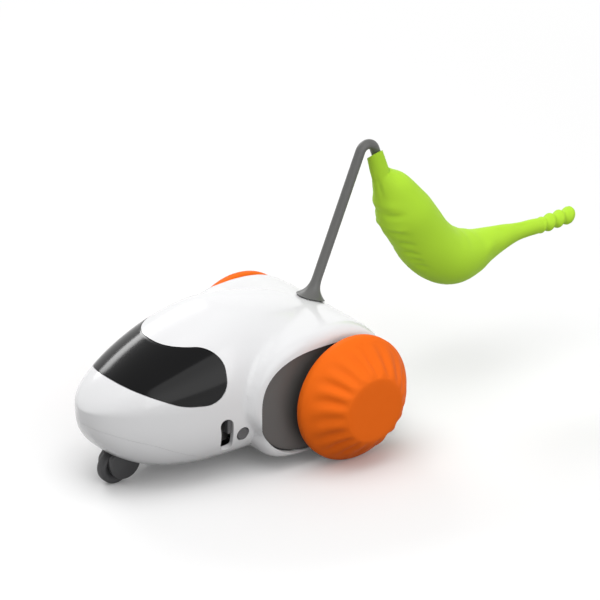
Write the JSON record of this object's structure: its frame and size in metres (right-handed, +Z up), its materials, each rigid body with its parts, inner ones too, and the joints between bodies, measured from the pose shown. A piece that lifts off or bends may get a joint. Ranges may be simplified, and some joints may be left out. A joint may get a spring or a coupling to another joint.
{
  "type": "interactive cat toy",
  "caption": "Egg-shaped motorised cat toy with orange silicone wheels, a swivel caster and a springy pole that holds a green lure.",
  "frame": {"origin": "on the floor under the middle of the bounding box", "axes": "+Z up, -Y towards the nose, +X towards the toy's left side"},
  "size_m": [0.1166, 0.2714, 0.1251],
  "materials": {
    "white_shell": "glossy white moulded shell",
    "visor": "high-gloss infrared-clear black",
    "panel": "satin warm grey",
    "wheel_cover": "matte silicone, rippled",
    "wheel_core": "moulded black",
    "caster": "satin dark grey",
    "caster_tread": "matte dark grey",
    "control": "satin grey",
    "pole": "satin grey, flexible",
    "lure": "matte silicone",
    "steel": "plain steel",
    "bronze": "sintered bronze or turned brass",
    "gearbox": "moulded black",
    "gear": "natural acetal",
    "board": "solder-resist green",
    "battery": "blue shrink wrap",
    "component": "black"
  },
  "bodies": {
    "body": {"upper_shell": "white_shell", "lower_shell": "white_shell", "visor": "visor", "left_side_panel": "panel", "left_axle_bush": "bronze", "left_idler_pin": "steel", "left_motor": "steel", "left_gearbox": "gearbox", "left_gearbox_screw_1": "steel", "left_gearbox_screw_2": "steel", "right_side_panel": "panel", "right_axle_bush": "bronze", "right_idler_pin": "steel", "right_motor": "steel", "right_gearbox": "gearbox", "right_gearbox_screw_1": "steel", "right_gearbox_screw_2": "steel", "main_board": "board", "sensor_board": "board", "side_board": "board", "charge_board": "board", "battery": "battery", "battery_tray": "gearbox", "charge_socket": "steel", "switch_body": "component", "button_switch": "component", "board_screw_1": "steel", "board_screw_2": "steel", "shell_screw_1": "steel", "shell_screw_2": "steel", "shell_screw_3": "steel", "shell_screw_4": "steel"},
    "left_wheel": {"left_wheel_cover": "wheel_cover", "left_wheel_core": "wheel_core", "left_wheel_screw": "steel", "left_axle": "steel", "left_output_gear": "gear"},
    "right_wheel": {"right_wheel_cover": "wheel_cover", "right_wheel_core": "wheel_core", "right_wheel_screw": "steel", "right_axle": "steel", "right_output_gear": "gear"},
    "left_idler": {"left_idler_gear": "gear"},
    "right_idler": {"right_idler_gear": "gear"},
    "left_rotor": {"left_motor_pinion": "bronze", "left_motor_shaft": "steel"},
    "right_rotor": {"right_motor_pinion": "bronze", "right_motor_shaft": "steel"},
    "caster": {"caster_fork": "caster", "caster_screw": "steel", "caster_axle": "steel"},
    "caster_roller": {"caster_wheel": "caster_tread"},
    "button": {"push_button": "control"},
    "switch": {"switch_knob": "control"},
    "pole": {"pole": "pole"},
    "lure": {"lure": "lure"}
  },
  "joints": [
    {"name": "left_wheel_spin", "type": "hinge", "parent": "body", "child": "left_wheel", "pos_m": [0, -0.02368, 0.0285], "axis": [1, 0, 0], "continuous": true},
    {"name": "left_idler_spin", "type": "hinge", "parent": "body", "child": "left_idler", "pos_m": [0, -0.03808, 0.0285], "axis": [1, 0, 0], "continuous": true},
    {"name": "left_motor_spin", "type": "hinge", "parent": "body", "child": "left_rotor", "pos_m": [0, -0.05048, 0.0285], "axis": [1, 0, 0], "continuous": true},
    {"name": "right_wheel_spin", "type": "hinge", "parent": "body", "child": "right_wheel", "pos_m": [0, -0.02368, 0.0285], "axis": [1, 0, 0], "continuous": true},
    {"name": "right_idler_spin", "type": "hinge", "parent": "body", "child": "right_idler", "pos_m": [0, -0.03808, 0.0285], "axis": [1, 0, 0], "continuous": true},
    {"name": "right_motor_spin", "type": "hinge", "parent": "body", "child": "right_rotor", "pos_m": [0, -0.05048, 0.0285], "axis": [1, 0, 0], "continuous": true},
    {"name": "caster_swivel", "type": "hinge", "parent": "body", "child": "caster", "pos_m": [0, -0.11618, 0], "axis": [0, 0, 1], "continuous": true},
    {"name": "caster_roll", "type": "hinge", "parent": "caster", "child": "caster_roller", "pos_m": [0, -0.12018, 0.0075], "axis": [1, 0, 0], "continuous": true},
    {"name": "button_press", "type": "slide", "parent": "body", "child": "button", "axis": [-1, 0, 0], "range_m": [0, 0.0008], "stiffness_N_per_m": 400},
    {"name": "power_switch", "type": "slide", "parent": "body", "child": "switch", "axis": [0, 0, -1], "range_m": [0, 0.006]},
    {"name": "pole_pull", "type": "slide", "parent": "body", "child": "pole", "axis": [0, 0.3971, 0.9178], "range_m": [0, 0.009]},
    {"name": "lure_pull", "type": "slide", "parent": "pole", "child": "lure", "axis": [0, 0.342, -0.9397], "range_m": [0, 0.012]}
  ],
  "couplings": [
    {"joint": "left_idler_spin", "follows": "left_wheel_spin", "ratio": -2.6},
    {"joint": "left_motor_spin", "follows": "left_wheel_spin", "ratio": 6.3556},
    {"joint": "right_idler_spin", "follows": "right_wheel_spin", "ratio": -2.6},
    {"joint": "right_motor_spin", "follows": "right_wheel_spin", "ratio": 6.3556}
  ]
}
